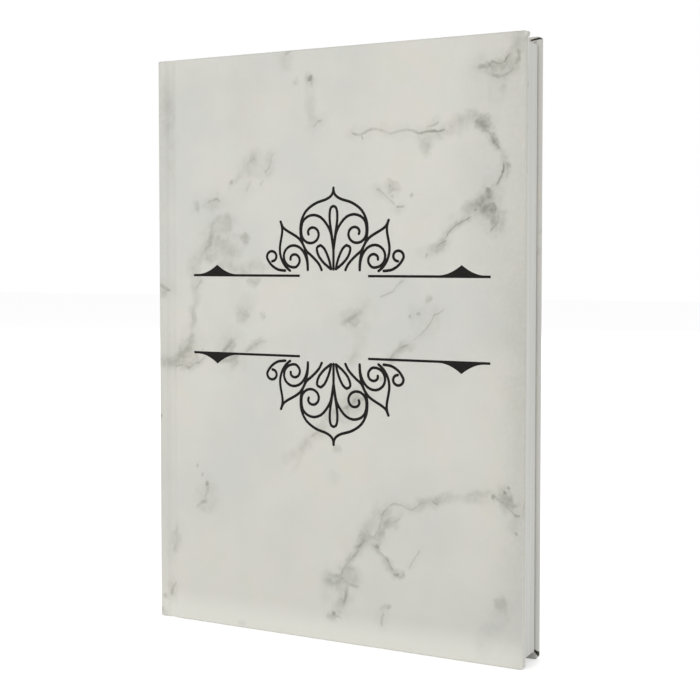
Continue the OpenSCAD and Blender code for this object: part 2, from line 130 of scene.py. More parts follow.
# The marble print of the front cover. Veins are drawn as half width and points of
# (x, z, darkness), where 1 is the darkest grey of the print.
VEINS = [
    (0.55, [(9.8, 181.2, 0.65), (11.2, 180.6, 0.5), (12.8, 180.3, 0.35), (14.5, 181.1, 0.55),
            (16.2, 182.1, 0.5), (18.5, 182.3, 0.4), (21, 181.6, 0.35), (24.5, 180.6, 0.35),
            (27.5, 181.2, 0.35), (31.5, 181.5, 0.5), (33.5, 180.8, 0.45), (35, 180.1, 0.7),
            (36.5, 179.8, 0.75), (38.2, 180.4, 0.8), (40.5, 180.6, 0.9), (42.5, 180.5, 0.85),
            (44.5, 180.9, 0.8)]),
    (0.35, [(38, 181.9, 0.35), (40.3, 182.3, 0.5), (41.2, 182.8, 0.7), (42.6, 183.6, 0.45)]),
    (0.5, [(56.3, 184, 0.5), (57.4, 182.6, 0.8), (58, 181.2, 0.85), (59.3, 180.3, 0.7),
           (60.6, 179.4, 0.75)]),
    (0.45, [(57.6, 183.6, 0.6), (59.5, 184.2, 0.45), (60.8, 183.6, 0.6), (61.4, 182.6, 0.4)]),
    (0.4, [(60.8, 179.8, 0.7), (61.6, 178.4, 0.55), (62.6, 176.7, 0.55), (63.4, 175.3, 0.7),
           (64.2, 174.4, 0.9), (65, 173.6, 0.75)]),
    (0.5, [(66, 169.6, 0.3), (66.1, 168.2, 0.95), (66, 166.6, 0.95), (65.7, 165.2, 0.8),
           (64.9, 163.6, 0.75), (64, 162, 0.65), (63.6, 161.2, 0.4)]),
    (1.0, [(56.6, 154.9, 0.5), (58.5, 155.4, 0.7), (60.5, 155.2, 0.8)]),
    (0.7, [(64.2, 151.6, 0.5), (64.4, 150, 0.6), (63.2, 148.2, 0.65), (61.7, 146.9, 0.6)]),
    (0.5, [(54.6, 153.6, 0.6), (55.2, 154.8, 0.8), (56.2, 155.2, 0.5), (58.3, 155.7, 0.6)]),
    (0.33, [(54.8, 151.3, 0.75), (52.6, 150.4, 0.95), (50.5, 149.5, 0.9), (49, 148.4, 0.95),
            (47.4, 146.8, 0.9), (46, 145.3, 0.9), (44.9, 143.8, 0.8)]),
    (0.5, [(45.2, 143.3, 0.85), (43.8, 142.7, 0.8), (42.3, 141.6, 0.65), (40.8, 140.6, 0.35)]),
    (1.0, [(57.3, 200.9, 0.65), (58.8, 201.3, 0.7), (60.4, 201.1, 0.6), (62.3, 201.3, 0.6)]),
    (0.6, [(59.8, 202.6, 0.5), (61.3, 201.4, 0.9), (62, 203, 0.7), (63.3, 202, 0.75), (65, 201.7, 0.7),
            (66.3, 202.2, 0.8), (67.2, 203.4, 0.85), (67.9, 204.7, 0.65)]),
    (0.7, [(61.8, 198.2, 0.45), (63.5, 197.7, 0.6), (65, 197.3, 0.6), (66.7, 197.8, 0.5),
           (68.2, 198.7, 0.6), (69.7, 199.9, 0.45)]),
    (0.85, [(70.2, 200.6, 0.4), (71.3, 202.3, 0.55), (71.5, 204.3, 0.6), (70.9, 206, 0.5)]),
    (0.5, [(19.3, 161.4, 0.6), (20.8, 160.9, 0.45), (22.7, 159.2, 0.4), (24.6, 157.4, 0.4),
           (25.8, 156.2, 0.35)]),
    (0.42, [(26.8, 155.3, 0.7), (28, 155.1, 0.8), (29.6, 155.3, 0.45)]),
    (0.35, [(20.5, 124, 0.4), (22.7, 124.7, 0.5), (25.2, 125.9, 0.55), (26.5, 127.5, 0.45),
            (28.3, 129, 0.5), (29.6, 129.8, 0.4)]),
    (0.4, [(44.6, 119.9, 0.35), (42.6, 118.7, 0.5), (41, 118.1, 0.75), (40, 116, 0.6),
           (38.9, 114.3, 0.6), (37.4, 112.8, 0.45), (35.6, 111, 0.3), (33.4, 109.2, 0.35)]),
    (0.55, [(31.3, 107.6, 0.45), (29, 106.7, 0.85), (27.6, 106, 0.6), (26.2, 104.8, 0.5),
            (25.1, 103.5, 0.75), (24.6, 102.6, 0.6)]),
    (1.3, [(13, 118.6, 0.4), (11, 117.4, 0.6), (9, 115.9, 0.75), (7, 115, 0.6), (5.6, 114.6, 0.3)]),
    (1.0, [(8.8, 114.9, 0.55), (10.5, 113.7, 0.5), (12.2, 115.2, 0.35)]),
    (0.9, [(11.2, 104.5, 0.25), (10.2, 102.8, 0.4), (8.8, 101, 0.3)]),
    (1.1, [(15, 88.6, 0.45), (12.8, 87.9, 0.6), (10.6, 87.4, 0.75), (9.2, 86.1, 0.55),
           (7.4, 84.6, 0.8), (5.8, 84, 0.5)]),
    (0.6, [(72, 52, 0.75), (70.8, 51.9, 0.6), (69.9, 53, 0.4), (68.6, 54.3, 0.45)]),
    (0.75, [(71, 55.2, 0.55), (69, 55.3, 0.55), (66.6, 55.8, 0.6), (64.8, 56.5, 0.5), (63.8, 57.2, 0.5)]),
    (0.7, [(60.5, 57.2, 0.25), (57, 57.4, 0.3), (54, 57.6, 0.35)]),
    (0.5, [(50.5, 56.1, 0.2), (48, 56.4, 0.3), (46.2, 55.8, 0.35), (44.8, 54.4, 0.3),
           (43.2, 53.8, 0.45), (41.9, 53, 0.8), (41.2, 53.6, 0.7), (40.4, 54.4, 0.5)]),
    (0.55, [(39.8, 53.9, 0.4), (38, 53.4, 0.45), (35.6, 52.8, 0.6), (34.4, 51.6, 0.4),
            (32.8, 50.4, 0.45), (31.2, 50.6, 0.35)]),
    (0.5, [(30.6, 50.9, 0.35), (28.4, 51.8, 0.35), (26.3, 52.2, 0.45), (24.7, 51.2, 0.5)]),
    (0.55, [(24.2, 50.7, 0.5), (22.8, 49.4, 0.6), (21.7, 48.1, 0.75), (21.3, 46.6, 0.5),
            (20.9, 44.8, 0.5), (20.1, 42.7, 0.5), (19.2, 40.9, 0.5), (18.4, 39.6, 0.55)]),
    (0.7, [(29.3, 48.6, 0.2), (28.2, 46.8, 0.35), (26.3, 45.6, 0.45), (24.6, 45, 0.45), (23.2, 45.2, 0.45)]),
    (0.8, [(22.8, 44.6, 0.45), (22.2, 43, 0.45), (21.4, 41, 0.45), (20.6, 39, 0.4)]),
    (0.8, [(15.4, 41.6, 0.55), (16.4, 39.8, 0.55), (18.6, 38.9, 0.45), (21, 38.6, 0.35)]),
    (1.0, [(14.6, 38, 0.7), (13.4, 36.6, 0.8), (12.2, 35.5, 0.85), (11.3, 35.2, 0.6)]),
    (0.65, [(12.6, 34.6, 0.6), (11.4, 33.2, 0.65), (10.3, 31.9, 0.75), (9.2, 30.7, 0.6),
           (8, 29.6, 0.5), (6.9, 28.2, 0.5), (6.1, 26.9, 0.6), (5.5, 25.2, 0.8)]),
    (1.0, [(5.4, 24.6, 0.65), (3.8, 23.9, 0.6), (2, 24, 0.5), (0.2, 24.3, 0.4), (-1.2, 24.4, 0.25)]),
    (0.8, [(7.6, 21.5, 0.45), (9, 21.7, 0.5), (10.2, 21.2, 0.55), (11.6, 21.2, 0.45)]),
    (0.4, [(6.2, 27.6, 0.4), (8.3, 27.3, 0.4), (10, 27.7, 0.35)]),
    (0.8, [(7.5, 20.6, 0.45), (7.1, 18.7, 0.6), (6.9, 17.2, 0.8), (6.5, 15.6, 0.85),
           (6, 14.2, 0.55), (5.6, 12.8, 0.3)]),
    (0.5, [(0.2, 9.5, 0.4), (3.6, 9.4, 0.45), (5, 8.9, 0.3)]),
    (0.5, [(20, 34.7, 0.55), (21.4, 33.9, 0.6), (22.8, 33.1, 0.75), (23.8, 31.6, 0.75),
           (24.6, 30.2, 0.6), (25.4, 28.9, 0.75)]),
    (0.4, [(36, 36.6, 0.35), (34.6, 34.6, 0.35), (33, 32, 0.35), (31.8, 29.6, 0.3)]),
    (0.6, [(22, 12.6, 0.35), (21.4, 10.8, 0.4), (21.2, 8.8, 0.4)]),
    (0.7, [(-15.9, 211.8, 0.4), (-17.3, 210.6, 0.6)]),
    (0.6, [(-6.9, 199.9, 0.5), (-6.7, 198.6, 0.3)]),
    (0.6, [(-2.6, 186.3, 0.35), (-4.6, 185.9, 0.55), (-5.8, 184.3, 0.4)]),
    (0.5, [(-22.4, 175.4, 0.3), (-23.6, 173.6, 0.4), (-24, 171.6, 0.35), (-25.4, 169.9, 0.5),
           (-26.1, 168.9, 0.55)]),
    (0.6, [(-27.2, 165.8, 0.2), (-28.3, 164.4, 0.3)]),
    (0.8, [(-32.6, 165.2, 0.2), (-34.2, 162.4, 0.3)]),
    (0.7, [(-46, 158.6, 0.35), (-47.5, 159.7, 0.75), (-49, 159.2, 0.5), (-51, 158.4, 0.45)]),
    (0.75, [(-55.9, 158.6, 0.4), (-55.9, 155.4, 0.45)]),
    (1.5, [(-49.6, 147.2, 0.5), (-50.2, 144.8, 0.66), (-50.8, 142.4, 0.68), (-52.4, 140.6, 0.5),
           (-54.4, 138.6, 0.35)]),
    (0.8, [(-73.4, 127.4, 0.5), (-71.5, 126.4, 0.55), (-69.8, 125.4, 0.75)]),
    (0.6, [(-58.2, 133.2, 0.3), (-58.6, 130.8, 0.35)]),
    (0.8, [(-54.4, 129.6, 0.4), (-55.6, 127.7, 0.55), (-56.6, 126.2, 0.4)]),
    (0.5, [(-57.1, 120.4, 0.35), (-58, 118.3, 0.45), (-58.6, 116.6, 0.5), (-58.4, 113.8, 0.6)]),
    (1.5, [(-58.9, 108.4, 0.5), (-59.5, 106, 0.6), (-60.8, 104.2, 0.6)]),
    (1.9, [(-59.4, 103.8, 0.6), (-61.6, 102.8, 0.7), (-63.6, 101.4, 0.68), (-65.8, 99.8, 0.6)]),
    (0.6, [(-71.8, 96.3, 0.5), (-70.8, 97.9, 0.55), (-69.6, 99.3, 0.45), (-68, 99.9, 0.4)]),
    (0.65, [(-67.9, 97.3, 0.5), (-66.2, 96.7, 0.6), (-63.5, 97.2, 0.6), (-61.6, 97.1, 0.55),
            (-60.2, 96, 0.75), (-58.7, 97.3, 0.5), (-57, 98.2, 0.6), (-55.6, 98.2, 0.65),
            (-54.3, 99.6, 0.4), (-53, 100.6, 0.4)]),
    (1.4, [(-41.4, 107, 0.6), (-42.6, 105, 0.78), (-44.2, 103.4, 0.75)]),
    (1.2, [(-46, 99.2, 0.4), (-43.4, 99.7, 0.55), (-40.4, 100.2, 0.55), (-38.6, 101.4, 0.6)]),
    (0.9, [(-38.8, 117.2, 0.3), (-37.4, 118, 0.35), (-35.4, 116.6, 0.5), (-33.8, 116.4, 0.5)]),
    (0.6, [(-26.4, 107.1, 0.3), (-28.2, 107.2, 0.45), (-29.8, 106.2, 0.6), (-31.2, 105.9, 0.5),
           (-32.6, 104.4, 0.55), (-34.2, 103.1, 0.6)]),
    (0.9, [(-4.4, 74.7, 0.3), (-5.8, 74.3, 0.5), (-7.2, 73.2, 0.3)]),
    (0.9, [(-51.8, 51.4, 0.5), (-52.5, 49.5, 0.35), (-53.2, 47.6, 0.35)]),
    (0.9, [(-52.3, 46.7, 0.4), (-53.6, 46.1, 0.65), (-55.3, 45.1, 0.5), (-56.6, 43.8, 0.35)]),
    (0.9, [(-66.2, 35.4, 0.25), (-66.3, 32, 0.3), (-66.8, 28.6, 0.35), (-68, 26, 0.45)]),
    (0.7, [(-67, 13, 0.45), (-68.5, 12, 0.5), (-69, 10.2, 0.55), (-69.1, 8.6, 0.5)]),
]

# Small dark spots: centre as (x, z), half width and half height, darkness
SPOTS = [
    ((60.9, 158.8), (1.5, 2.4), 0.8),
    ((61.1, 153.9), (3.1, 2.9), 0.85),
    ((62.9, 150), (1.5, 2.6), 0.6),
    ((56.2, 153.6), (0.8, 0.7), 0.75),
    ((57.4, 181.8), (0.8, 0.9), 0.7),
    ((61, 182.9), (0.6, 0.8), 0.6),
    ((60.2, 179.7), (0.8, 0.6), 0.6),
    ((38.5, 138.6), (0.7, 0.7), 0.5),
    ((24.3, 162.4), (0.8, 0.8), 0.7),
    ((25.3, 158.7), (0.6, 0.6), 0.45),
    ((32.6, 159.1), (0.9, 0.9), 0.45),
    ((13.6, 179.5), (0.6, 0.6), 0.6),
    ((35.1, 118.4), (0.9, 0.9), 0.55),
    ((32, 117.4), (0.9, 0.9), 0.5),
    ((20.6, 95.3), (1.0, 1.0), 0.4),
    ((62.8, 57.3), (0.95, 0.95), 0.85),
    ((67.3, 59), (1.0, 1.0), 0.8),
    ((68.8, 61), (0.7, 0.7), 0.6),
    ((75, 56.5), (0.8, 0.8), 0.6),
    ((71.5, 45.7), (0.8, 0.8), 0.5),
    ((2.1, 10.2), (1.0, 1.0), 0.85),
    ((19.3, 36.1), (1.4, 1.0), 0.8),
    ((26.9, 27.2), (1.3, 1.0), 0.8),
    ((-7.4, 201.5), (1.35, 1.5), 0.9),
    ((-30.8, 173.6), (1.0, 1.0), 0.5),
    ((-40.9, 165.4), (1.0, 1.0), 0.5),
    ((-34.9, 143.6), (1.3, 1.1), 0.5),
    ((-65.3, 98.9), (1.5, 1.5), 0.6),
    ((-28, 117.2), (0.8, 0.8), 0.35),
    ((-26.9, 116), (0.8, 0.8), 0.4),
    ((-73.4, 77.4), (0.9, 0.9), 0.7),
    ((-53.8, 103.6), (0.7, 0.7), 0.3),
    ((-9.4, 70.8), (0.9, 0.9), 0.45),
    ((-56.4, 59.2), (0.8, 0.8), 0.45),
    ((-54.2, 56.1), (0.9, 0.9), 0.35),
    ((-52.2, 52.8), (1.2, 1.2), 0.72),
    ((-71.7, 8.1), (1.2, 1.2), 0.4),
    ((-73.6, 2.4), (1.6, 1.6), 0.5),
]

# Soft grey bands beside and between the veins, drawn as they are
HAZES = [
    (2.2, [(36.5, 177.9, 0.2), (39, 177.8, 0.26), (42, 178.4, 0.2)]),
    (2.4, [(45.5, 180.9, 0.25), (48, 181.8, 0.34), (51, 183.2, 0.38), (54, 184.6, 0.38), (57, 183.6, 0.3)]),
    (1.9, [(61, 179.6, 0.3), (63.2, 176, 0.32), (65.6, 172.8, 0.3), (67, 171.2, 0.25)]),
    (3.6, [(61, 159, 0.25), (60, 156, 0.35), (61.5, 152, 0.35), (63, 149, 0.25)]),
    (3.2, [(47, 148, 0.1), (50, 151, 0.22), (53.5, 153.3, 0.3), (57, 155, 0.3)]),
    (1.9, [(41, 141.3, 0.2), (45, 144.3, 0.3), (48.5, 148, 0.3), (52, 151.3, 0.25)]),
    (2.2, [(37, 139.5, 0.1), (41, 140.8, 0.25), (44.5, 142.4, 0.2)]),
    (2.4, [(70.3, 206, 0.2), (71, 209, 0.2), (72.5, 212, 0.24)]),
    (3.0, [(15, 120, 0.1), (11, 117, 0.24), (7, 115, 0.2)]),
    (2.2, [(14, 114, 0.1), (12.6, 109, 0.1), (11.2, 104, 0.14), (9.5, 100.5, 0.12)]),
    (2.0, [(31.5, 108, 0.2), (28, 106, 0.25), (25, 103, 0.25)]),
    (3.6, [(14, 88, 0.2), (10, 86.5, 0.35), (6, 85, 0.3), (2, 83, 0.15)]),
    (1.6, [(62, 57.3, 0.2), (57, 57.3, 0.2), (52, 56.6, 0.15), (47, 55.6, 0.15), (42, 54, 0.25),
           (37, 52.8, 0.2), (32, 50.5, 0.2)]),
    (2.2, [(19.6, 48.5, 0.18), (17.8, 45.5, 0.18), (16.2, 43, 0.12), (16, 40.5, 0.16)]),
    (1.6, [(24, 50, 0.15), (22, 46.5, 0.25), (21.5, 43, 0.3), (20, 39.5, 0.3)]),
    (1.8, [(29, 48, 0.1), (26, 46, 0.2), (23, 44.5, 0.25)]),
    (1.8, [(15, 38.5, 0.3), (12.5, 35.8, 0.35), (10, 32, 0.25), (7.5, 29, 0.25)]),
    (2.2, [(5, 22.2, 0.3), (2, 21.8, 0.34), (-0.5, 22.3, 0.26)]),
    (2.4, [(5, 20, 0.26), (5, 16, 0.26), (4, 12, 0.2)]),
    (2.0, [(18.5, 36.5, 0.35), (20, 35, 0.3), (23, 32, 0.2), (25.5, 28.5, 0.25)]),
    (3.6, [(66, 20, 0.14), (64, 15, 0.17), (61.5, 10, 0.14), (60, 7, 0.1)]),
    (1.9, [(-8, 197, 0.14), (-7.6, 192, 0.16), (-6.2, 187, 0.16)]),
    (1.4, [(-38.5, 168, 0.16), (-41, 165.4, 0.25)]),
    (1.8, [(-50.5, 149.5, 0.16), (-47, 152, 0.2), (-43.5, 152.6, 0.18), (-40.6, 151.6, 0.14)]),
    (2.6, [(-50, 142.5, 0.25), (-46, 142, 0.32), (-42, 141.5, 0.3), (-38.5, 140.5, 0.16)]),
    (2.4, [(-55, 138.5, 0.2), (-50, 138.2, 0.28), (-45.5, 138, 0.28), (-41, 138, 0.22)]),
    (1.3, [(-41, 144.8, 0.1), (-38, 145.2, 0.18), (-35, 145.2, 0.2)]),
    (2.2, [(-45, 134.3, 0.3), (-40, 133.6, 0.34), (-34, 133.6, 0.32), (-28, 134.6, 0.3)]),
    (1.8, [(-57.5, 134, 0.2), (-56, 129, 0.25), (-57, 123, 0.15), (-58, 117, 0.22), (-58.6, 112, 0.2)]),
    (2.4, [(-71, 97.8, 0.25), (-66.5, 98.6, 0.4), (-62, 98, 0.3), (-57, 98.5, 0.25)]),
    (1.6, [(-28, 107.5, 0.18), (-31, 105.7, 0.22), (-34, 103.3, 0.25)]),
    (2.4, [(-1, 78.5, 0.14), (-5, 74.8, 0.25), (-9, 71, 0.22), (-13, 67.8, 0.18), (-18, 65, 0.12)]),
    (1.5, [(-11, 67, 0.14), (-13.2, 63, 0.12), (-15, 60, 0.08)]),
    # This haze along the groove by the spine is painted shade in the groove
    (3.0, [(-69.5, 203, 0.12), (-69, 190, 0.14), (-68.5, 175, 0.12), (-68.5, 165, 0.08)]),
]

# Soft grey patches: centre as (x, z), half width and half height, darkness
PATCHES = [
    ((38.2, 175), (2.3, 3.2), 0.26),
    ((59, 182), (3.0, 2.8), 0.34),
    ((62.3, 177), (1.2, 2.0), 0.25),
    ((67.4, 167), (1.2, 2.6), 0.3),
    ((65.5, 201.3), (7.0, 3.6), 0.2),
    ((66, 193.5), (1.2, 2.2), 0.25),
    ((64, 193), (5.0, 5.0), 0.1),
    ((25.4, 162), (2.2, 2.8), 0.28),
    ((24, 160), (5.0, 3.0), 0.1),
    ((37.5, 117), (7.0, 6.0), 0.12),
    ((39.2, 123.4), (1.6, 1.6), 0.3),
    ((1.6, 81.5), (2.0, 3.0), 0.3),
    ((3.3, 69.5), (2.4, 1.2), 0.3),
    ((2, 59), (2.2, 3.6), 0.1),
    ((67.5, 57.5), (4.0, 3.6), 0.35),
    ((71, 49), (2.0, 4.0), 0.18),
    ((15.6, 43.6), (2.4, 2.4), 0.08),
    ((9.4, 25), (3.4, 4.4), 0.28),
    ((2.3, 9.8), (3.0, 1.4), 0.25),
    ((28.9, 26.7), (2.0, 1.6), 0.4),
    ((22.8, 14.3), (1.9, 1.2), 0.42),
    ((65.5, 21.6), (3.0, 2.4), 0.25),
    ((-17.5, 208), (2.6, 4.0), 0.14),
    ((-7.4, 201.5), (2.4, 2.2), 0.25),
    ((-13.5, 200.5), (1.6, 1.8), 0.22),
    ((-30, 172), (4.5, 7.0), 0.16),
    ((-36, 170.5), (4.0, 3.0), 0.12),
    ((-30.8, 173.6), (1.8, 1.8), 0.2),
    ((-24.5, 171.5), (2.2, 5.0), 0.1),
    ((-55.9, 157), (1.6, 3.2), 0.22),
    ((-50, 157), (4.0, 2.4), 0.14),
    ((-45.4, 148.4), (5.6, 4.6), 0.25),
    ((-35, 144.2), (2.6, 2.2), 0.26),
    ((-57.5, 135.5), (4.0, 3.6), 0.14),
    ((-72.5, 125), (3.0, 3.0), 0.32),
    ((-61.5, 103.5), (4.0, 4.4), 0.3),
    ((-42.3, 104.6), (3.0, 3.0), 0.3),
    ((-42.5, 99.8), (4.6, 2.2), 0.35),
    ((-37, 117), (3.5, 3.0), 0.2),
    ((-32, 128.6), (3.0, 2.0), 0.3),
    ((-33.5, 121), (3.0, 5.0), 0.14),
    ((-27.5, 116.5), (1.8, 1.8), 0.2),
    ((-52.5, 47.5), (5.0, 6.5), 0.12),
    ((-66.8, 29), (2.4, 5.5), 0.24),
    ((-68.6, 10.5), (2.0, 3.0), 0.2),
    ((-73.5, 3), (2.4, 3.0), 0.25),
    ((-71.7, 8.2), (2.0, 1.6), 0.2),
    # This patch on the groove by the spine is painted shade in the groove
    ((-69.8, 193), (2.6, 8.0), 0.06),
    ((-37, 2.2), (2.0, 1.2), 0.18),
    ((-1.5, 20), (3.0, 7.0), 0.12),
]

# Broad painted shade towards the fore-edge, the spine edge and the head, and a wider darker area left of the
# middle, as half width and points of (x, z, darkness)
BROAD_PAINTED_SHADE = [
    (11, [(74, 212, 0.14), (74, 150, 0.12), (74, 110, 0.19), (74, 40, 0.15), (74, 0, 0.05)]),
    (28, [(76, 212, 0.06), (76, 150, 0.08), (76, 110, 0.13), (76, 20, 0.08)]),
    (8, [(-75, 212, 0.12), (-75, 120, 0.1), (-75, 20, 0.05)]),
    (30, [(-75, 200, 0.04), (0, 200, 0.05), (74, 200, 0.03)]),
    (16, [(60, 190, 0.07), (60, 165, 0.08), (62, 140, 0.1), (64, 125, 0.05)]),
    (15, [(-34, 192, 0.06), (-34, 176, 0.08), (-42, 160, 0.06)]),
]

# Painted shade of the gaps in the back cover's folded corners: the end that each is near, 1 for the tail and
# -1 for the head, and its points as (inwards from the cover's edge, in from that end, half
# width), where a negative first number is round on the edge itself
FOLD_GAP_SHADES = [
    (1, [(-2.2, 1.8, 0.6), (-0.4, 2.1, 0.85), (1.7, 3.6, 0.32)]),
    (-1, [(-2.0, 0.45, 0.4), (3.6, 1.25, 0.25)]),
]


class Paint:
    """The nodes of one procedural material, with its place in millimetres."""

    def __init__(self, name, at_rest=False):
        self.material = bpy.data.materials.new(name)
        self.material.use_nodes = True
        self.tree = self.material.node_tree
        self.shader = self.tree.nodes["Principled BSDF"]
        if at_rest:
            source = self.node("Attribute", attribute_name="rest_place").outputs["Vector"]
        else:
            source = self.node("TexCoord").outputs["Object"]
        self.place = self.vector("SCALE", source, scale=1 / MM)
        parts = self.node("SeparateXYZ", self.place).outputs
        self.x, self.y, self.z = parts[0], parts[1], parts[2]

    def join(self, value, socket):
        """Sets a socket to a number, or links it to another node's output."""
        if isinstance(value, bpy.types.NodeSocket):
            self.tree.links.new(value, socket)
        elif value is not None:
            socket.default_value = value

    def node(self, kind, *inputs, **settings):
        """Adds a node with these inputs, in their order, and these settings."""
        made = self.tree.nodes.new("ShaderNode" + kind)
        for key, value in settings.items():
            setattr(made, key, value)
        for socket, value in zip(made.inputs, inputs):
            self.join(value, socket)
        return made

    def math(self, operation, *inputs, clamp=False):
        """The result of a sum with numbers."""
        return self.node("Math", *inputs, operation=operation, use_clamp=clamp).outputs[0]

    def vector(self, operation, *inputs, scale=None):
        """The result of a sum with vectors."""
        made = self.node("VectorMath", *inputs, operation=operation)
        if scale is not None:
            self.join(scale, made.inputs["Scale"])
        return made.outputs["Vector"]

    def stretch(self, value, low, high, new_low, new_high, smooth=True, clamp=True):
        """Takes value from one range to another."""
        kind = "SMOOTHSTEP" if smooth else "LINEAR"
        made = self.node("MapRange", value, low, high, new_low, new_high, interpolation_type=kind)
        if not smooth:
            made.clamp = clamp
        return made.outputs[0]

    def noise(self, place, scale, detail=2.0, roughness=0.5, distortion=0.0):
        """A noise texture with so many features in a millimetre."""
        made = self.node("TexNoise")
        self.join(place, made.inputs["Vector"])
        made.inputs["Scale"].default_value = scale
        made.inputs["Detail"].default_value = detail
        made.inputs["Roughness"].default_value = roughness
        made.inputs["Distortion"].default_value = distortion
        return made

    def mix(self, share, first, second):
        """A colour between two others."""
        made = self.node("Mix", data_type="RGBA")
        self.join(share, made.inputs["Factor"])
        self.join(first, made.inputs[6])
        self.join(second, made.inputs[7])
        return made.outputs[2]

    def together(self, combine, masks):
        """Several masks as one: their largest, with MAXIMUM, or their sum, with ADD."""
        result = masks[0]
        for mask in masks[1:]:
            result = self.math(combine, result, mask)
        return result

    def bump(self, height, depth, strength=1.0, under=None):
        """Relief from a height between 0 and 1, at most so many millimetres deep."""
        made = self.node("Bump")
        made.inputs["Strength"].default_value = strength
        made.inputs["Distance"].default_value = depth * MM
        self.join(height, made.inputs["Height"])
        self.join(under, made.inputs["Normal"])
        return made.outputs[0]

    def finish(self, colour, roughness, normal=None, specular=0.5):
        """Puts the colour, roughness and relief on the shader."""
        self.join(colour, self.shader.inputs["Base Color"])
        self.join(roughness, self.shader.inputs["Roughness"])
        self.join(normal, self.shader.inputs["Normal"])
        self.shader.inputs["Specular IOR Level"].default_value = specular
        return self.material


# How marks are painted: how far wide and fine noise push them about, how ragged their
# edges are and how many lumps that has in a millimetre, and where between its middle and its
# half width a mark starts to fade and is gone
Manner = namedtuple("Manner", "warp ragged lumps solid gone")
FINE = Manner(warp=(0.5, 0.4), ragged=0.5, lumps=0.8, solid=0.15, gone=1.7)
SOFT = Manner(warp=(2.2, 0.9), ragged=0.65, lumps=0.25, solid=0.0, gone=1.8)
BROAD = Manner(warp=(2.2, 1.0), ragged=0.0, lumps=0.28, solid=0.0, gone=1.0)

# A mark's end narrows to this share of its half width, over so many half widths
END_SHARE = 0.4
TAPER = 1.8

# The soft halo round each vein: its half width and darkness as shares of the vein's
HALO_WIDTH = 4.0
HALO_DARKNESS = 0.22

# The least gap between two marks in one strand, and the widest half width that a strand holds
STRAND_GAP = 1.6
WIDEST = 30.0


def warped(paint, reach):
    """The place, pushed about by wide and fine noise so that drawn lines look grown."""
    place = paint.place
    for push, scale, detail in ((reach[0], 0.16, 1.0), (reach[1], 0.75, 2.0)):
        noise = paint.noise(paint.place, scale, detail=detail).outputs["Color"]
        middle = paint.vector("SUBTRACT", noise, (0.5, 0.5, 0.5))
        place = paint.vector("ADD", place, paint.vector("SCALE", middle, scale=2 * push))
    return place


def vein_mark(half, points):
    """A vein as its axis and its rows of (place along, place across, half width, darkness)."""
    spread = [max(p[i] for p in points) - min(p[i] for p in points) for i in (0, 1)]
    axis = 0 if spread[0] >= spread[1] else 1
    rows = sorted((p[axis], p[1 - axis], half, p[2]) for p in points)
    first, last = rows[0], rows[-1]
    rows.insert(0, (first[0] - TAPER * half, first[1], half * END_SHARE, 0.0))
    rows.append((last[0] + TAPER * half, last[1], half * END_SHARE, 0.0))
    return axis, rows


def halo_mark(half, points):
    """The soft halo round a vein."""
    return vein_mark(half * HALO_WIDTH, [(x, z, dark * HALO_DARKNESS) for x, z, dark in points])


def patch_mark(centre, radii, darkness):
    """A patch as a short, wide mark with a rounded outline."""
    axis = 0 if radii[0] >= radii[1] else 1
    rows = []
    for share in (-1, -0.75, -0.4, 0, 0.4, 0.75, 1):
        half = radii[1 - axis] * math.sqrt(1 - share * share)
        dark = 0.0 if abs(share) == 1 else darkness
        rows.append((centre[axis] + share * radii[axis], centre[1 - axis], half, dark))
    return axis, rows


def in_strands(marks):
    """Marks put end to end into as few strands as will hold them, so that each costs few nodes."""
    strands = []
    for axis, rows in sorted(marks, key=lambda mark: mark[1][0][0]):
        for strand in strands:
            if strand[0] == axis and strand[1][-1][0] + STRAND_GAP < rows[0][0]:
                strand[1].extend(rows)
                break
        else:
            strands.append((axis, list(rows)))
    return strands


def draw_line(line, points):
    """Puts points with straight lines between them on one line of a curves node."""
    line.points[0].location = points[0]
    line.points[1].location = points[-1]
    for point in points[1:-1]:
        line.points.new(*point)
    for point in line.points:
        point.handle_type = "VECTOR"


def strand_mask(paint, shares, strand, manner, push):
    """How dark one strand of marks is at each point of the cover."""
    axis, rows = strand
    lows = (spine_low.x, 0.0)
    spans = (fore_x - spine_low.x, cover_h)
    curves = paint.node("RGBCurve", 1.0, shares[axis])
    curves.mapping.extend = "HORIZONTAL"
    for index, low, span in ((0, lows[1 - axis], spans[1 - axis]), (1, 0.0, WIDEST), (2, 0.0, 1.0)):
        points = [((row[0] - lows[axis]) / spans[axis], (row[index + 1] - low) / span) for row in rows]
        draw_line(curves.mapping.curves[index], points)
    curves.mapping.update()
    place, half, dark = paint.node("SeparateColor", curves.outputs[0]).outputs
    off = paint.math("ABSOLUTE", paint.math("SUBTRACT", shares[1 - axis], place))
    edge = WIDEST / spans[1 - axis]
    reach = paint.math("DIVIDE", off, paint.math("MULTIPLY", half, edge))
    return paint.stretch(paint.math("ADD", reach, push), manner.solid, manner.gone, dark, 0.0)


def drawn(paint, marks, manner, combine):
    """The darkness of a set of marks at each point of the cover."""
    parts = paint.node("SeparateXYZ", warped(paint, manner.warp)).outputs
    shares = (
        paint.stretch(parts[0], spine_low.x, fore_x, 0.0, 1.0, smooth=False, clamp=False),
        paint.stretch(parts[2], 0.0, cover_h, 0.0, 1.0, smooth=False, clamp=False),
    )
    rough = paint.noise(paint.place, manner.lumps, detail=2.0, roughness=0.5).outputs[0]
    push = paint.math("MULTIPLY_ADD", rough, 2 * manner.ragged, -manner.ragged)
    masks = [strand_mask(paint, shares, strand, manner, push) for strand in in_strands(marks)]
    return paint.together(combine, masks)


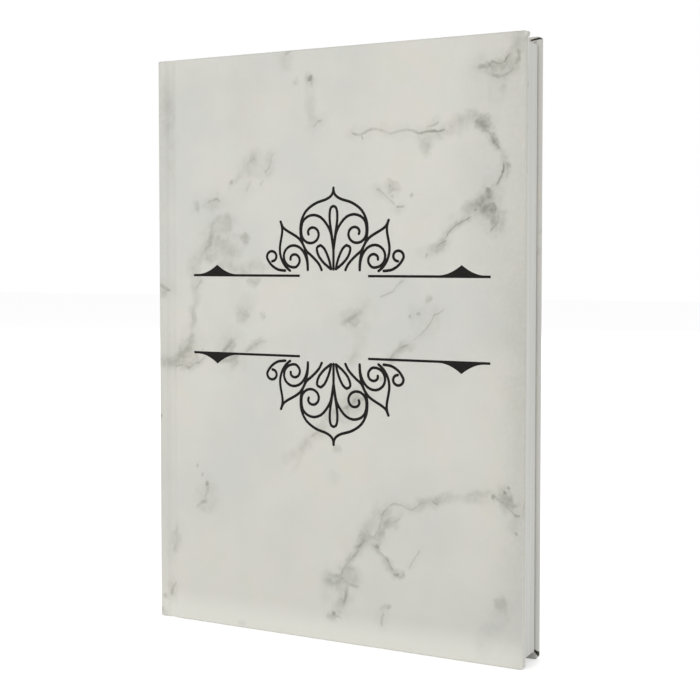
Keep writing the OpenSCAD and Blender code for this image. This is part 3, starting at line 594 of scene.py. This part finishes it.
def drawn_marble(paint, furthest):
    """The marks that the photograph shows on the front cover, and its broad painted shade, that start nearer
    than furthest.
    """
    def near(points):
        return min(p[0] for p in points) < furthest
    fine = [vein_mark(half, points) for half, points in VEINS if near(points)]
    fine += [patch_mark(at, radii, dark) for at, radii, dark in SPOTS if near([at])]
    soft = [vein_mark(half, points) for half, points in HAZES if near(points)]
    soft += [patch_mark(at, radii, dark) for at, radii, dark in PATCHES if near([at])]
    halos = [halo_mark(half, points) for half, points in VEINS if near(points)]
    broad = [vein_mark(half, points) for half, points in BROAD_PAINTED_SHADE if near(points)]
    veins = drawn(paint, fine, FINE, "MAXIMUM")
    haze = paint.math("ADD", drawn(paint, soft, SOFT, "ADD"), drawn(paint, halos, SOFT, "MAXIMUM"))
    clumps = paint.noise(paint.place, 0.2, detail=2.0, roughness=0.5).outputs[0]
    haze = paint.math("MULTIPLY", haze, paint.stretch(clumps, 0.3, 0.7, 0.6, 1.4))
    # Painted shade towards the cover's edges and head
    shade = drawn(paint, broad, BROAD, "ADD")
    return paint.math("ADD", paint.math("MAXIMUM", veins, haze), shade, clamp=True)


def grown_marble(paint):
    """Veins from noise alone, for the sides that the photograph doesn't show."""
    place = warped(paint, SOFT.warp)
    field = paint.noise(place, 0.021, detail=4.0, roughness=0.55, distortion=0.6).outputs[0]
    ridge = paint.math("ABSOLUTE", paint.math("SUBTRACT", field, 0.5))
    where = paint.noise(paint.place, 0.017, detail=2.0).outputs[0]
    strength = paint.stretch(where, 0.5, 0.64, 0.0, 0.8)
    line = paint.stretch(ridge, 0.0, 0.009, strength, 0.0)
    haze = paint.stretch(ridge, 0.0, 0.05, paint.math("MULTIPLY", strength, 0.45), 0.0)
    return paint.math("MAXIMUM", line, haze)


# The strips of painted light on the front cover: the heights between which the one at the tail fades,
# and how far in from the fore-edge the one on the rounded edge starts and is full
TAIL_PAINTED_LIGHT = (3.0, 13.0)
EDGE_PAINTED_LIGHT = (0.7, 0.1)

# How far under the front face the drawn print starts to fade into the grown one, and is gone
FRONT_DEPTH = (0.9, 1.5)

# The most that a warm or a green tint may count in the ground colour
MOST_TINT = 0.6

# How rough the bare core is, and the inside of a gaping fold
CORE_ROUGHNESS = 0.9


def grain(paint):
    """The leatherette's pressed grain, and the slow waves of the board under it."""
    cells = paint.node("TexVoronoi", feature="F1")
    paint.join(paint.place, cells.inputs["Vector"])
    cells.inputs["Scale"].default_value = 1.5
    fine = paint.noise(paint.place, 4.0, detail=2.0).outputs[0]
    height = paint.math("MULTIPLY_ADD", cells.outputs["Distance"], 0.8, paint.math("MULTIPLY", fine, 0.3))
    waves = paint.noise(paint.place, 0.03, detail=1.0).outputs[0]
    return paint.bump(height, 0.035, 0.6, under=paint.bump(waves, 0.35, 0.35))


def leatherette(name, at_rest=False, drawn_to=None, dark=None, dark_colour=None):
    """Leatherette printed as marble.

    The front's own marks are drawn up to drawn_to, and dark masks what has the dark colour.
    """
    paint = Paint(name, at_rest)
    clouds = paint.noise(paint.place, 0.022, detail=3.0, roughness=0.55).outputs[0]
    shade = paint.stretch(clouds, 0.38, 0.66, 0.0, 1.0)
    hues = paint.noise(paint.place, 0.09, detail=2.0).outputs["Color"]
    warmth, greenness, _ = paint.node("SeparateColor", hues).outputs
    tinted = paint.mix(paint.stretch(warmth, 0.42, 0.7, 0.0, MOST_TINT), MARBLE, MARBLE_WARM)
    tinted = paint.mix(paint.stretch(greenness, 0.42, 0.7, 0.0, MOST_TINT), tinted, MARBLE_GREEN)
    ground = paint.mix(shade, tinted, MARBLE_SHADE)
    marks = grown_marble(paint)
    if drawn_to is not None:
        on_front = paint.stretch(paint.y, face_y + FRONT_DEPTH[0], face_y + FRONT_DEPTH[1], 1.0, 0.0)
        # Painted light: a lighter strip along the tail, and on the rounded fore-edge
        tail_painted_light = paint.math("MULTIPLY", on_front, paint.stretch(paint.z, *TAIL_PAINTED_LIGHT, 1.0, 0.0))
        edge_painted_light = paint.stretch(paint.x, fore_x - EDGE_PAINTED_LIGHT[0], fore_x - EDGE_PAINTED_LIGHT[1], 0.0, 1.0)
        ground = paint.mix(paint.math("MAXIMUM", tail_painted_light, edge_painted_light), ground, MARBLE_PAINTED_LIT)
        marks = paint.math("MULTIPLY", marks, paint.math("SUBTRACT", 1.0, on_front))
        own_marks = paint.math("MULTIPLY", drawn_marble(paint, drawn_to), on_front)
        marks = paint.math("MAXIMUM", marks, own_marks)
    breaks = paint.stretch(paint.noise(paint.place, 0.6, detail=3.0).outputs[0], 0.3, 0.62, 0.75, 1.0)
    tint = paint.mix(paint.noise(paint.place, 0.06).outputs[0], VEIN, VEIN_WARM)
    colour = paint.mix(paint.math("MULTIPLY", marks, breaks), ground, tint)
    roughness = paint.stretch(paint.noise(paint.place, 0.9, detail=2.0).outputs[0], 0.3, 0.7, 0.46, 0.58)
    if dark:
        mask = dark(paint)
        colour = paint.mix(mask, colour, dark_colour)
        roughness = paint.math("MAXIMUM", roughness, paint.math("MULTIPLY", mask, CORE_ROUGHNESS))
    return paint.finish(colour, roughness, grain(paint), specular=0.35)


def inside(paint, value, low, high):
    """1 where value lies between low and high, and 0 elsewhere."""
    return paint.math(
        "MULTIPLY", paint.math("GREATER_THAN", value, low), paint.math("LESS_THAN", value, high)
    )


# Thickness of the printed layer over the black core, and how far past the design the walls of
# its lines are looked for
PRINT_T = 0.2
PAST_ART = 0.2


def engraved_walls(paint):
    """The walls of the burnt lines, just under the front face and within the design."""
    across = inside(paint, paint.x, art_low.x - PAST_ART, art_high.x + PAST_ART)
    up = inside(paint, paint.z, art_low.z - PAST_ART, art_high.z + PAST_ART)
    deep = inside(paint, paint.y, face_y + PRINT_T, art_high.y + PAST_ART)
    return paint.math("MULTIPLY", deep, paint.math("MULTIPLY", across, up))


def painted_fold_shade(paint):
    """Painted shade of the gaps in the back cover's folded corners, over the cut on its inside and on round
    its edge, where nothing is cut.
    """
    inward = paint.math("SUBTRACT", fore_x, paint.x)
    inward = paint.math("SUBTRACT", inward, paint.math("SUBTRACT", paint.y, back_low.y))
    folds = []
    for end, points in FOLD_GAP_SHADES:
        up = paint.z if end > 0 else paint.math("SUBTRACT", cover_h, paint.z)
        for first, last in zip(points, points[1:]):
            line, half = [
                paint.stretch(inward, first[0], last[0], first[i], last[i], smooth=False) for i in (1, 2)
            ]
            close = paint.math("LESS_THAN", paint.math("ABSOLUTE", paint.math("SUBTRACT", up, line)), half)
            folds.append(paint.math("MULTIPLY", close, inside(paint, inward, first[0], last[0])))
    return paint.together("MAXIMUM", folds)


def burnt_core():
    """The matt black core at the bottom of the burnt lines, with a little ash."""
    paint = Paint("burnt_core")
    ash = paint.noise(paint.place, 2.2, detail=4.0, roughness=0.7).outputs[0]
    colour = paint.mix(paint.stretch(ash, 0.4, 0.75, 0.0, 0.8), CORE, CORE_WORN)
    return paint.finish(colour, CORE_ROUGHNESS, paint.bump(ash, 0.05, 0.8), specular=0.2)


def page_edges():
    """The cut edges of the leaves, which lie one on another through the book."""
    paint = Paint("page_edges")
    layered = paint.vector("MULTIPLY", paint.place, (0.02, 8.0, 0.02))
    fine = paint.noise(layered, 1.0, detail=3.0, roughness=0.6).outputs[0]
    bundles = paint.vector("MULTIPLY", paint.place, (0.008, 1.3, 0.008))
    broad = paint.noise(bundles, 1.0, detail=1.0).outputs[0]
    both = paint.math("MULTIPLY_ADD", fine, 0.7, paint.math("MULTIPLY", broad, 0.3))
    shade = paint.stretch(both, 0.36, 0.62, 0.75, 0.0)
    fibre = paint.noise(paint.place, 3.0, detail=2.0).outputs[0]
    colour = paint.mix(shade, PAGE, PAGE_SHADE)
    relief = paint.bump(fine, 0.05, 0.7, under=paint.bump(fibre, 0.01, 0.4))
    return paint.finish(colour, 0.85, relief, specular=0.25)


def endpaper_stock(name, at_rest=False):
    """Uncoated paper with a little tooth and cloudiness."""
    paint = Paint(name, at_rest)
    clouds = paint.noise(paint.place, 0.35, detail=4.0, roughness=0.6).outputs[0]
    tooth = paint.noise(paint.place, 5.0, detail=3.0, roughness=0.6).outputs[0]
    colour = paint.mix(paint.stretch(clouds, 0.35, 0.7, 0.0, 1.0), PAPER, PAPER_SHADE)
    return paint.finish(colour, 0.8, paint.bump(tooth, 0.012, 0.6), specular=0.3)


def book_board():
    """Grey board of pressed waste paper, with darker flecks."""
    paint = Paint("book_board")
    flecks = paint.noise(paint.place, 1.6, detail=4.0, roughness=0.7).outputs[0]
    colour = paint.mix(paint.stretch(flecks, 0.5, 0.72, 0.0, 1.0), BOARD, BOARD_FLECK)
    return paint.finish(colour, 0.9, paint.bump(flecks, 0.04, 0.6), specular=0.2)


def cotton():
    """Cotton thread and mull: a fine weave."""
    paint = Paint("cotton")
    waves = []
    for axis in ("Y", "Z"):
        wave = paint.node("TexWave", wave_type="BANDS", bands_direction=axis)
        paint.join(paint.place, wave.inputs["Vector"])
        wave.inputs["Scale"].default_value = 1.1
        wave.inputs["Distortion"].default_value = 0.6
        waves.append(wave.outputs["Fac"])
    weave = paint.math("MULTIPLY", waves[0], waves[1])
    # The weave's hollows get the darker thread colour: painted shade between the threads
    colour = paint.mix(weave, THREAD_SHADE, THREAD)
    return paint.finish(colour, 0.85, paint.bump(weave, 0.05, 0.6), specular=0.2)


# How far past the joint and the fore-edge the front's own marks and painted shade are drawn
PAST_JOINT = 2.0
PAST_EDGE = 5.0

# Materials
marble_front = leatherette(
    "marble_leatherette_front", drawn_to=fore_x + PAST_EDGE, dark=engraved_walls, dark_colour=CORE
)
# The back cover's folded corners get painted shade in their gaps
marble_back = leatherette("marble_leatherette_back", dark=painted_fold_shade, dark_colour=FOLD_SHADE)
marble_joint = leatherette("marble_leatherette_joint", at_rest=True, drawn_to=joint_x + PAST_JOINT)
core = burnt_core()
edges = page_edges()
paper = endpaper_stock("endpaper_stock")
paper_joint = endpaper_stock("endpaper_stock_joint", at_rest=True)
greyboard = book_board()
thread = cotton()


def paint_node(name, material):
    """Gives a solid of the frame its material."""
    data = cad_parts[name].data
    data.materials.clear()
    data.materials.append(material)


paint_node("front_wrap", marble_front)
paint_node("back_wrap", marble_back)
paint_node("engraving", core)
paint_node("text_block", edges)
paint_node("front_pastedown", paper)
paint_node("back_pastedown", paper)
for name in ("front_board", "back_board", "spine_strip"):
    paint_node(name, greyboard)
paint_node("spine_lining", thread)


# Faces that meet at less than these angles look round: on most pieces, and on soft ones
SMOOTH_BELOW = math.radians(35)
SOFT_BELOW = math.radians(60)

# How near points have to be to be one point, and how near a cut to lie on it, in metres
ONE_POINT = 1e-7
ON_PLANE = 1e-8


def to_object(name, grid, material, smooth_below=SMOOTH_BELOW):
    """Turns a bmesh in metres into an object, round where its faces meet at small angles."""
    bmesh.ops.recalc_face_normals(grid, faces=grid.faces)
    for face in grid.faces:
        face.smooth = True
    for edge in grid.edges:
        edge.smooth = edge.is_manifold and edge.calc_face_angle(math.pi) < smooth_below
    data = bpy.data.meshes.new(name)
    grid.to_mesh(data)
    grid.free()
    data.materials.append(material)
    made = bpy.data.objects.new(name, data)
    bpy.context.scene.collection.objects.link(made)
    return made


def keep_rest_place(made):
    """Stores each point's place at rest, for a material on a piece that bends."""
    data = made.data
    stored = data.attributes.new("rest_place", "FLOAT_VECTOR", "POINT")
    for index, point in enumerate(data.vertices):
        stored.data[index].vector = point.co


def weigh_normals(made):
    """Lets the large faces decide the shading, so that flat parts look flat."""
    weighted = made.modifiers.new("weighted_normals", "WEIGHTED_NORMAL")
    weighted.keep_sharp = True


def cross_cuts(grid, places):
    """Cuts the mesh across at each place along X, so that it can bend there."""
    for x in places:
        everything = grid.verts[:] + grid.edges[:] + grid.faces[:]
        bmesh.ops.bisect_plane(
            grid, geom=everything, plane_co=(x * MM, 0, 0), plane_no=(1, 0, 0), dist=ON_PLANE
        )


def steps(low, high, count):
    """Evenly spaced values from low to high, both among them."""
    return [low + (high - low) * i / count for i in range(count + 1)]


# How many strips the groove is cut into
BEND_CUTS = 14


def spine_half(name, side):
    """Half of the spine's leatherette, cut from its solid and bending in its groove."""
    grid = bmesh.new()
    grid.from_mesh(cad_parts["spine_wrap"].data)
    bmesh.ops.remove_doubles(grid, verts=grid.verts, dist=ONE_POINT)
    everything = grid.verts[:] + grid.edges[:] + grid.faces[:]
    cut = bmesh.ops.bisect_plane(
        grid, geom=everything, plane_co=(0, 0, 0), plane_no=(0, side, 0), dist=ON_PLANE, clear_inner=True
    )
    rim = [item for item in cut["geom_cut"] if isinstance(item, bmesh.types.BMEdge)]
    bmesh.ops.edgeloop_fill(grid, edges=rim)
    cross_cuts(grid, steps(bend_start, bend_end, BEND_CUTS))
    made = to_object(name, grid, marble_joint)
    keep_rest_place(made)
    weigh_normals(made)
    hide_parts("spine_wrap")
    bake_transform(made)


spine_half("spine_skin_front", -1)
spine_half("spine_skin_back", 1)


def prism(outline, low, high):
    """A bmesh of an outline in X and Y, in millimetres, drawn out along Z."""
    grid = bmesh.new()
    rings = []
    for z in (low, high):
        rings.append([grid.verts.new((x * MM, y * MM, z * MM)) for x, y in outline])
    count = len(outline)
    for i in range(count):
        after = (i + 1) % count
        grid.faces.new((rings[0][i], rings[0][after], rings[1][after], rings[1][i]))
    grid.faces.new(rings[0])
    grid.faces.new(rings[1])
    return grid


# How many facets round an endpaper's fold
FOLD_STEPS = 8


def endpaper(side, words):
    """An endpaper's free leaf with its fold, and the flap that bends in the joint."""
    fold_r = paper_t + leaf_gap / 2
    fold_x = flap_low.x + fold_r
    outer_y = cover_in_y
    leaf_y = outer_y + paper_t + leaf_gap
    low, high = block_low.z, block_high.z
    arc = [math.pi / 2 + math.pi * i / FOLD_STEPS for i in range(FOLD_STEPS + 1)]
    middle_y = outer_y + fold_r
    outline = [(flap_high.x, leaf_y), (flap_high.x, leaf_y + paper_t)]
    outline += [(fold_x + fold_r * math.cos(a), middle_y + fold_r * math.sin(a)) for a in arc]
    inner_r = leaf_gap / 2
    outline += [(fold_x + inner_r * math.cos(a), middle_y + inner_r * math.sin(a)) for a in reversed(arc)]
    sheet = prism([(x, -side * y) for x, y in outline], low, high)
    leaf = to_object(words + "_endpaper_leaf", sheet, paper)
    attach(leaf, "book_block")
    xs = steps(fold_x, joint_x, 2 * BEND_CUTS)
    outline = [(x, outer_y) for x in xs] + [(x, outer_y + paper_t) for x in reversed(xs)]
    folded = prism([(x, -side * y) for x, y in outline], low, high)
    flap = to_object(words + "_endpaper_flap", folded, paper_joint)
    keep_rest_place(flap)
    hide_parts(words + "_endpaper")
    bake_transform(flap)


endpaper(-1, "front")
endpaper(1, "back")

# The thread wrapped round a band's bead: its turns, and how deep it cuts in as a share of the
# bead's radius. The bead has so many sides, and each turn so many rings.
BEAD_WRAPS = 34
WRAP_DEPTH = 0.13
BEAD_SIDES = 16
WRAP_STEPS = 6


def sewn_band(name, node, up):
    """A head or tail band: a cord bead wrapped in thread, on its tape."""
    low, high = box_mm(node)
    pages_end = (block_high.z if up > 0 else block_low.z)
    centre_x = low.x + bead_r
    centre_z = pages_end + up * bead_r
    grid = bmesh.new()
    rings = []
    count = BEAD_WRAPS * WRAP_STEPS
    for i, y in enumerate(steps(low.y, high.y, count)):
        swell = abs(math.sin(math.pi * i / WRAP_STEPS))
        ring = []
        for j in range(BEAD_SIDES):
            angle = 2 * math.pi * j / BEAD_SIDES
            radius = bead_r * (1 - WRAP_DEPTH + WRAP_DEPTH * swell)
            x = centre_x + radius * math.cos(angle)
            z = centre_z + radius * math.sin(angle)
            ring.append(grid.verts.new((x * MM, y * MM, z * MM)))
        rings.append(ring)
    for first, second in zip(rings, rings[1:]):
        for j in range(BEAD_SIDES):
            after = (j + 1) % BEAD_SIDES
            grid.faces.new((first[j], first[after], second[after], second[j]))
    grid.faces.new(rings[0])
    grid.faces.new(rings[-1])
    tape_far = low.z if up > 0 else high.z
    bmesh.ops.create_cube(grid, size=1, matrix=box_matrix(
        (low.x, low.y, min(tape_far, centre_z)), (low.x + tape_t, high.y, max(tape_far, centre_z))
    ))
    made = to_object(name, grid, thread, SOFT_BELOW)
    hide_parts(node)
    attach(made, "book_block")


def box_matrix(low, high):
    """The matrix that takes a unit cube to the box between two corners in millimetres."""
    middle = (Vector(low) + Vector(high)) / 2 * MM
    size = (Vector(high) - Vector(low)) * MM
    return Matrix.Translation(middle) @ Matrix.Diagonal((*size, 1))


sewn_band("head_band_sewn", "head_band", 1)
sewn_band("tail_band_sewn", "tail_band", -1)

# The pinched tip of leatherette at the head corner of the front cover, as points of
# (in from the fore-edge, down from the head), how far it stays inside the cover's front and
# inner faces, and the radius of its edges
EAR_TIP = [(2.4, 0.12), (0.6, 0.15), (-0.62, 0.5), (-0.66, 0.85), (-0.1, 1.3), (0.3, 2.6), (2.4, 2.6)]
EAR_IN = 0.02
EAR_BACK = 0.5
EAR_ROUND = 0.18


def pinched_ear():
    """The folded corner's tip, which stands a little proud of the fore-edge."""
    outline = [(fore_x - inward, cover_h - down) for inward, down in EAR_TIP]
    near, far = face_y + EAR_IN, cover_in_y - EAR_BACK
    grid = bmesh.new()
    rings = [[grid.verts.new((x * MM, y * MM, z * MM)) for x, z in outline] for y in (near, far)]
    for i in range(len(outline)):
        after = (i + 1) % len(outline)
        grid.faces.new((rings[0][i], rings[0][after], rings[1][after], rings[1][i]))
    grid.faces.new(rings[0])
    grid.faces.new(rings[1])
    bmesh.ops.bevel(grid, geom=grid.edges[:], offset=EAR_ROUND * MM, segments=2, affect="EDGES")
    ear = to_object("front_corner_ear", grid, marble_front, SOFT_BELOW)
    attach(ear, "front_cover")


pinched_ear()

# Floor, background and light: how much the floor glows where the background is looked at, and
# the strength of the light from all round
FLOOR_SIZE = 8.0
WHITE_GLOW = 0.42
WORLD_STRENGTH = 0.58


def seen_rays(tree):
    """1 for the rays that see the background, straight on or in a reflection, and 0 for light."""
    rays = tree.nodes.new("ShaderNodeLightPath")
    seen = rays.outputs["Is Camera Ray"]
    for kind in ("Is Glossy Ray", "Is Transmission Ray"):
        either = tree.nodes.new("ShaderNodeMath")
        either.operation = "MAXIMUM"
        tree.links.new(seen, either.inputs[0])
        tree.links.new(rays.outputs[kind], either.inputs[1])
        seen = either.outputs[0]
    return seen


def make_floor():
    """A plain white floor that keeps the book's shadow."""
    half = FLOOR_SIZE / 2
    data = bpy.data.meshes.new("floor")
    corners = [(-half, -half, 0), (half, -half, 0), (half, half, 0), (-half, half, 0)]
    data.from_pydata(corners, [], [(0, 1, 2, 3)])
    floor = bpy.data.objects.new("floor", data)
    bpy.context.scene.collection.objects.link(floor)
    material = bpy.data.materials.new("floor_white")
    material.use_nodes = True
    tree = material.node_tree
    shader = tree.nodes["Principled BSDF"]
    shader.inputs["Base Color"].default_value = FLOOR
    shader.inputs["Roughness"].default_value = 1.0
    shader.inputs["Specular IOR Level"].default_value = 0.0
    glow = tree.nodes.new("ShaderNodeMath")
    glow.operation = "MULTIPLY"
    glow.inputs[1].default_value = WHITE_GLOW
    tree.links.new(seen_rays(tree), glow.inputs[0])
    shader.inputs["Emission Color"].default_value = (1, 1, 1, 1)
    tree.links.new(glow.outputs[0], shader.inputs["Emission Strength"])
    data.materials.append(material)


def make_world():
    """Even white light from all round, and pure white where the camera looks past the floor."""
    world = bpy.data.worlds.new("studio")
    bpy.context.scene.world = world
    world.use_nodes = True
    tree = world.node_tree
    background = tree.nodes["Background"]
    background.inputs["Color"].default_value = (1, 1, 1, 1)
    level = tree.nodes.new("ShaderNodeMapRange")
    level.inputs["To Min"].default_value = WORLD_STRENGTH
    level.inputs["To Max"].default_value = 1.0
    tree.links.new(seen_rays(tree), level.inputs["Value"])
    tree.links.new(level.outputs[0], background.inputs["Strength"])


def area_lamp(name, place, aim, size, power):
    """A square soft box of that size, aimed at a point; all of it in metres and watts."""
    data = bpy.data.lights.new(name, "AREA")
    data.size = size
    data.energy = power
    lamp = bpy.data.objects.new(name, data)
    lamp.location = place
    lamp.rotation_euler = (Vector(aim) - Vector(place)).to_track_quat("-Z", "Y").to_euler()
    bpy.context.scene.collection.objects.link(lamp)


BOOK_MIDDLE = (0, 0, 0.106)
make_floor()
make_world()
area_lamp("front_soft_box", (-0.6, -1.5, 0.45), BOOK_MIDDLE, 1.2, 10.6)
area_lamp("fore_edge_soft_box", (1.4, -0.75, 0.5), BOOK_MIDDLE, 1.0, 3.4)
area_lamp("back_soft_box", (-0.6, 1.5, 1.0), BOOK_MIDDLE, 1.2, 9.0)

# Camera, fitted to the corners of both covers in the photograph
CAMERA_PLACE = (228.41, -420.85, 136.57)
CAMERA_AZIMUTH = 28.04
CAMERA_ELEVATION = 2.34
FOCAL_PIXELS = 1326.8
CAMERA_SHIFT = -0.05
NEAREST = 0.01


def make_camera():
    """The camera at the photograph's viewing angle."""
    data = bpy.data.cameras.new("camera")
    data.sensor_width = SENSOR
    data.lens = FOCAL_PIXELS * SENSOR / FRAME_PIXELS
    data.shift_y = CAMERA_SHIFT
    data.clip_start = NEAREST
    camera = bpy.data.objects.new("camera", data)
    turn = math.radians(CAMERA_AZIMUTH)
    tilt = math.radians(CAMERA_ELEVATION)
    back = Vector((math.sin(turn) * math.cos(tilt), -math.cos(turn) * math.cos(tilt), math.sin(tilt)))
    camera.location = Vector(CAMERA_PLACE) * MM
    camera.rotation_euler = back.to_track_quat("Z", "Y").to_euler()
    bpy.context.scene.collection.objects.link(camera)
    bpy.context.scene.camera = camera


make_camera()
bpy.context.scene.view_settings.view_transform = "Standard"
